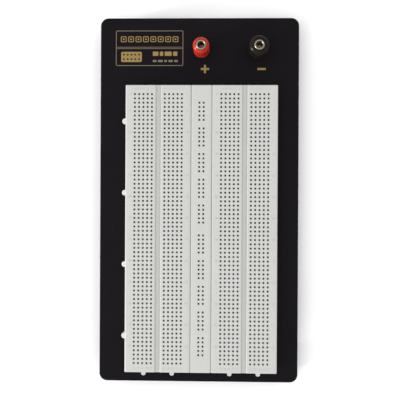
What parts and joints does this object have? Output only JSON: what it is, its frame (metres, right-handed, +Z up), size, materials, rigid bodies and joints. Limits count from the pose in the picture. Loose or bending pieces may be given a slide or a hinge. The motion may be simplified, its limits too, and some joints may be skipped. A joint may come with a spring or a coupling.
{
  "type": "solderless breadboard",
  "caption": "Solderless breadboard: white plug-in terminal and bus strips on a black metal plate with rubber feet and two screw-cap binding posts.",
  "frame": {"origin": "on the surface that the feet stand on, under the centre of the base plate", "axes": "+X to the right, +Y along the long side towards the binding posts, +Z up out of the tie points"},
  "size_m": [0.12, 0.22, 0.0285],
  "materials": {
    "plate_paint": "satin black paint on 1.5 mm aluminium sheet",
    "rubber": "matt black rubber",
    "white_abs": "fine satin moulded ABS",
    "foam_tape": "white foam tape with adhesive faces",
    "spring_contact": "nickel-plated phosphor bronze",
    "nickel": "nickel plate on brass, dull where it is handled",
    "brass": "turned brass",
    "tinned_lug": "dull tin plate on brass",
    "red_plastic": "glossy moulded red plastic",
    "black_plastic": "glossy moulded black plastic"
  },
  "bodies": {
    "board": {"base_plate": "plate_paint", "foot_front_left": "rubber", "foot_front_right": "rubber", "foot_rear_left": "rubber", "foot_rear_right": "rubber", "adhesive_pad_left": "foam_tape", "terminal_strip_left": "white_abs", "clips_left_a_e": "spring_contact", "clips_left_f_j": "spring_contact", "adhesive_pad_right": "foam_tape", "terminal_strip_right": "white_abs", "clips_right_a_e": "spring_contact", "clips_right_f_j": "spring_contact", "adhesive_pad_bus": "foam_tape", "bus_strip": "white_abs", "bus_rail_left_lower": "spring_contact", "bus_rail_left_upper": "spring_contact", "bus_rail_right_lower": "spring_contact", "bus_rail_right_upper": "spring_contact", "red_post_stud": "nickel", "red_post_collar": "red_plastic", "red_post_bush": "red_plastic", "red_post_washer": "nickel", "red_post_nut": "nickel", "red_post_lug": "tinned_lug", "red_post_lock_nut": "nickel", "black_post_stud": "nickel", "black_post_collar": "black_plastic", "black_post_bush": "black_plastic", "black_post_washer": "nickel", "black_post_nut": "nickel", "black_post_lug": "tinned_lug", "black_post_lock_nut": "nickel"},
    "red_insert": {"red_post_knob_insert": "brass"},
    "red_knob": {"red_post_knob": "red_plastic"},
    "black_insert": {"black_post_knob_insert": "brass"},
    "black_knob": {"black_post_knob": "black_plastic"}
  },
  "joints": [
    {"name": "red_knob_lift", "type": "slide", "parent": "board", "child": "red_insert", "axis": [0, 0, 1], "range_m": [0, 0.0045]},
    {"name": "red_knob_turn", "type": "hinge", "parent": "red_insert", "child": "red_knob", "pos_m": [0.0013, 0.0908, 0.0125], "axis": [0, 0, 1], "range_deg": [0, 1621]},
    {"name": "black_knob_lift", "type": "slide", "parent": "board", "child": "black_insert", "axis": [0, 0, 1], "range_m": [0, 0.0045]},
    {"name": "black_knob_turn", "type": "hinge", "parent": "black_insert", "child": "black_knob", "pos_m": [0.0355, 0.0908, 0.0125], "axis": [0, 0, 1], "range_deg": [0, 1621]}
  ],
  "couplings": [
    {"joint": "red_knob_turn", "follows": "red_knob_lift", "rad_per_m": 6283.2},
    {"joint": "black_knob_turn", "follows": "black_knob_lift", "rad_per_m": 6283.2}
  ]
}
